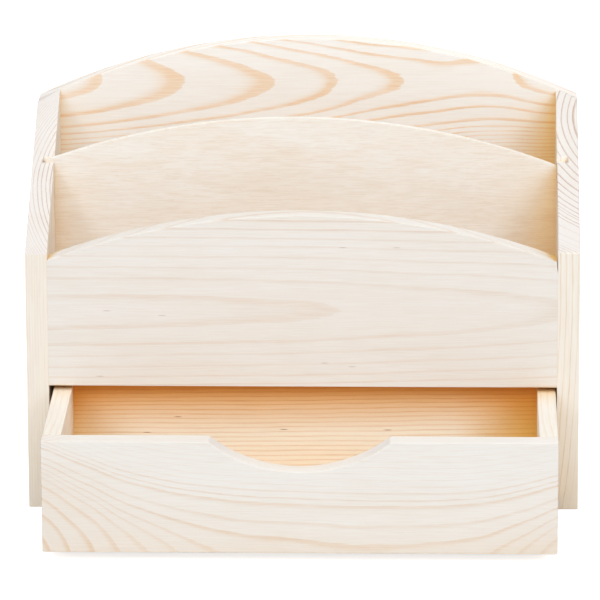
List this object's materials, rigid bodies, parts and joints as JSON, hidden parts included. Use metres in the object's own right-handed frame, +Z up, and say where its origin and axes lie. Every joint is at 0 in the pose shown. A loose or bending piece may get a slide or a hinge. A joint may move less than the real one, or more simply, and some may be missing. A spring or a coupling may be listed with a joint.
{
  "type": "envelope sorter with drawer",
  "caption": "Unfinished pine desk sorter: sloped sides, arched back, divider and front panel make upright letter slots above a shallow drawer with a finger notch.",
  "frame": {"origin": "on the table, at the middle of the outline of the whole object with its drawer open as at rest", "axes": "+X to the right as one faces the drawer, +Y to the back, +Z up"},
  "size_m": [0.3, 0.2214, 0.236],
  "materials": {
    "pine_case": "planed and sanded, unfinished",
    "pine_drawer": "planed and sanded, unfinished",
    "birch_plywood": "sanded plywood, unfinished",
    "steel_brads": "bright drawn wire",
    "beech_dowels": "turned, unfinished"
  },
  "bodies": {
    "case": {"side_panel_left": "pine_case", "side_panel_right": "pine_case", "back_panel": "pine_case", "front_panel": "pine_case", "middle_divider": "birch_plywood", "letter_shelf": "birch_plywood", "case_floor": "birch_plywood", "back_panel_brads_left": "steel_brads", "back_panel_brads_right": "steel_brads", "front_panel_brads_left": "steel_brads", "front_panel_brads_right": "steel_brads"},
    "drawer": {"drawer_front": "pine_drawer", "drawer_side_left": "pine_drawer", "drawer_side_right": "pine_drawer", "drawer_back": "pine_drawer", "drawer_bottom": "birch_plywood", "drawer_back_brads_left": "steel_brads", "drawer_back_brads_right": "steel_brads", "drawer_bottom_brads": "steel_brads", "drawer_front_dowels_left": "beech_dowels", "drawer_front_dowels_right": "beech_dowels"}
  },
  "joints": [
    {"name": "drawer_slide", "type": "slide", "parent": "case", "child": "drawer", "axis": [0, -1, 0], "range_m": [-0.0934, 0.022]}
  ]
}
